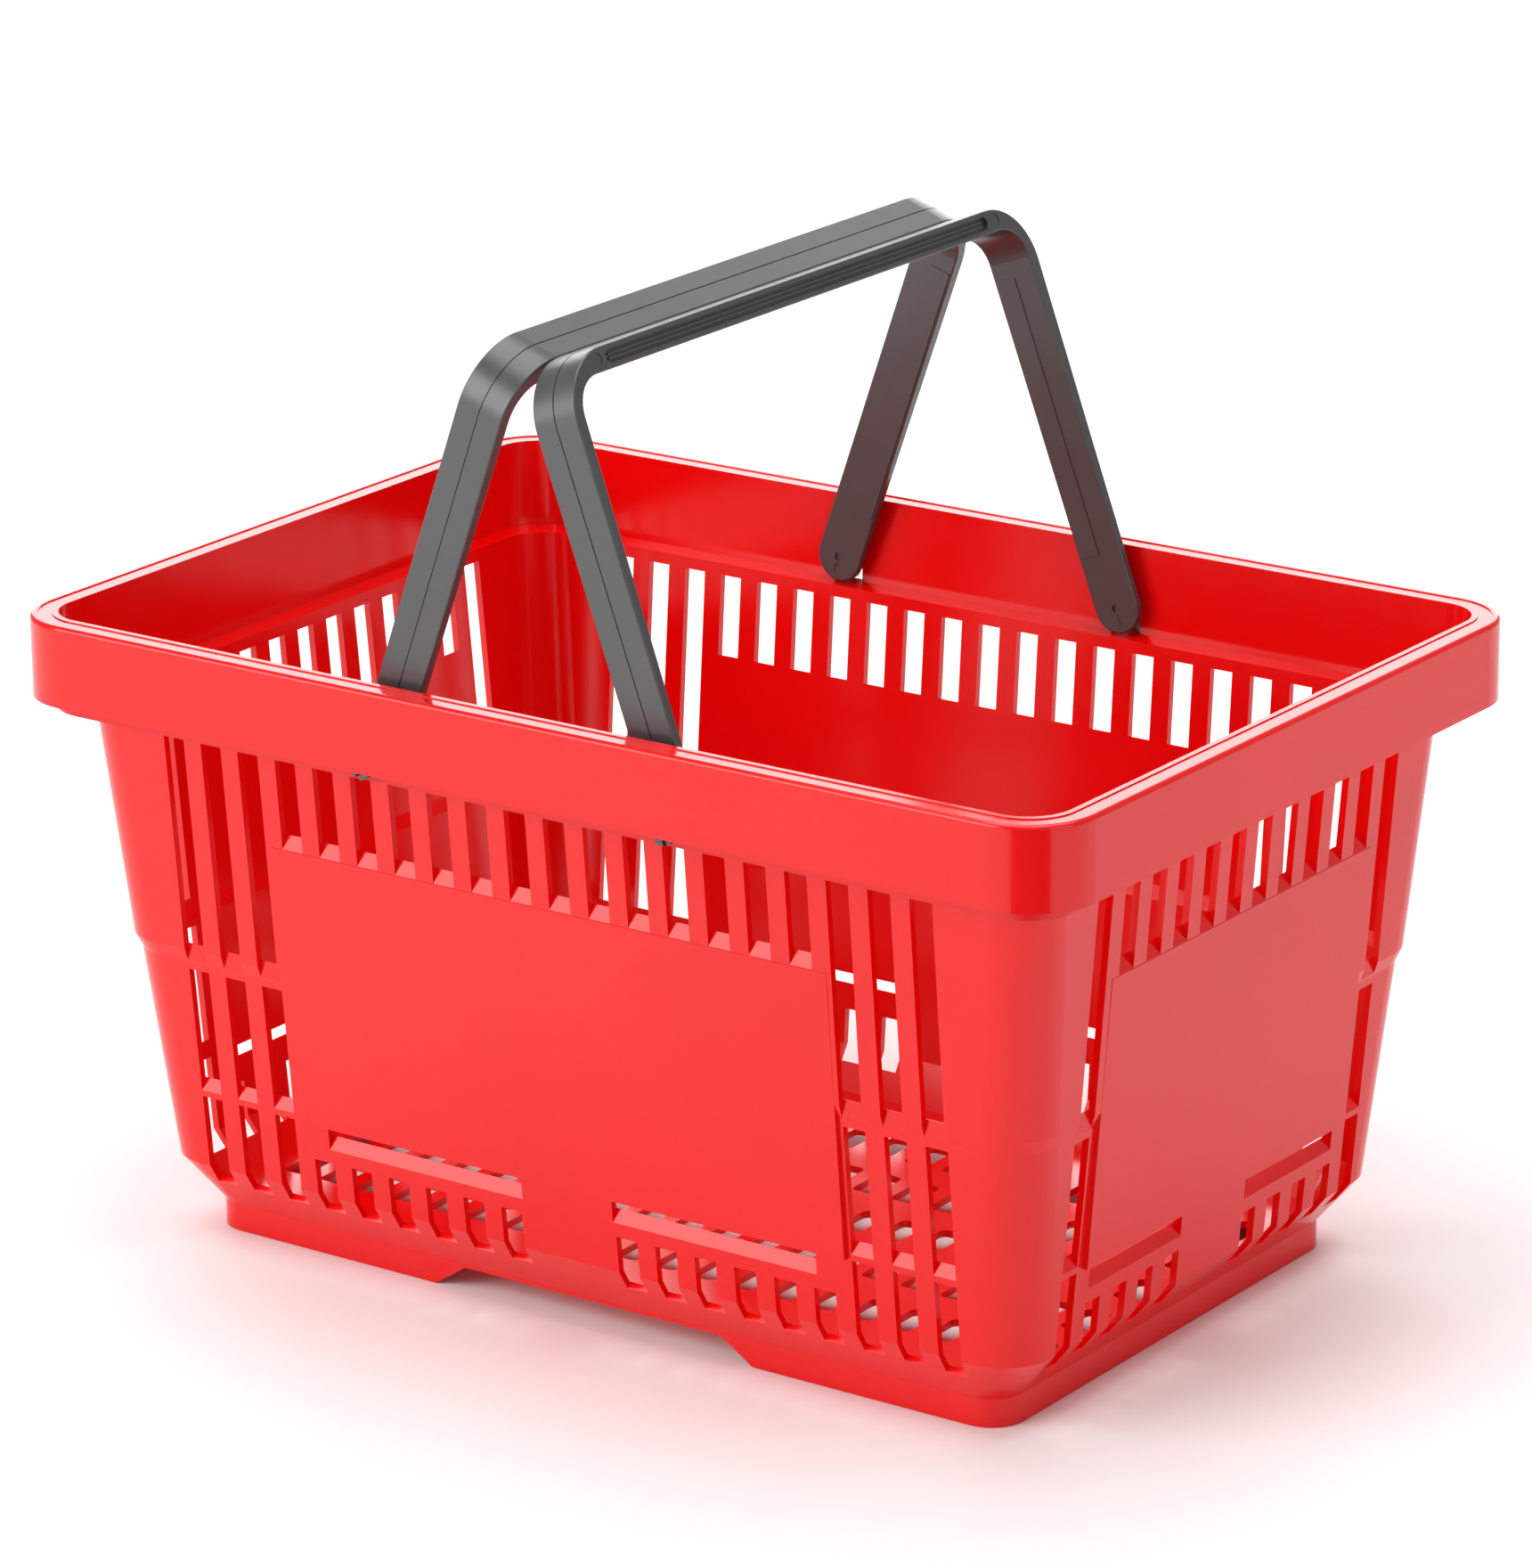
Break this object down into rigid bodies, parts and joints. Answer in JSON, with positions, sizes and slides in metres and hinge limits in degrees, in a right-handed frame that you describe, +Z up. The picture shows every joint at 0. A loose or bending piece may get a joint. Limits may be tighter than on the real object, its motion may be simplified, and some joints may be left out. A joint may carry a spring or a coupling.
{
  "type": "shopping basket",
  "caption": "Tapered slotted plastic hand basket with a deep hollow rim and swinging bail handles that rest together over the middle.",
  "frame": {"origin": "centre of the footprint, on the surface the basket stands on", "axes": "+Z up, X along the long sides, Y across the basket between the two long sides"},
  "size_m": [0.43, 0.296, 0.3471],
  "materials": {
    "red_polypropylene": "gloss, injection-moulded",
    "dark_grey_polypropylene": "satin, injection-moulded"
  },
  "bodies": {
    "body": {"basket_body": "red_polypropylene"},
    "left_bail": {"left_handle": "dark_grey_polypropylene"},
    "right_bail": {"right_handle": "dark_grey_polypropylene"}
  },
  "joints": [
    {"name": "left_handle_swing", "type": "hinge", "parent": "body", "child": "left_bail", "pos_m": [-0.0595, 0, 0.2052], "axis": [0, -1, 0], "range_deg": [0, 97.5]},
    {"name": "right_handle_swing", "type": "hinge", "parent": "body", "child": "right_bail", "pos_m": [0.0595, 0, 0.2052], "axis": [0, 1, 0], "range_deg": [0, 97.5]}
  ]
}
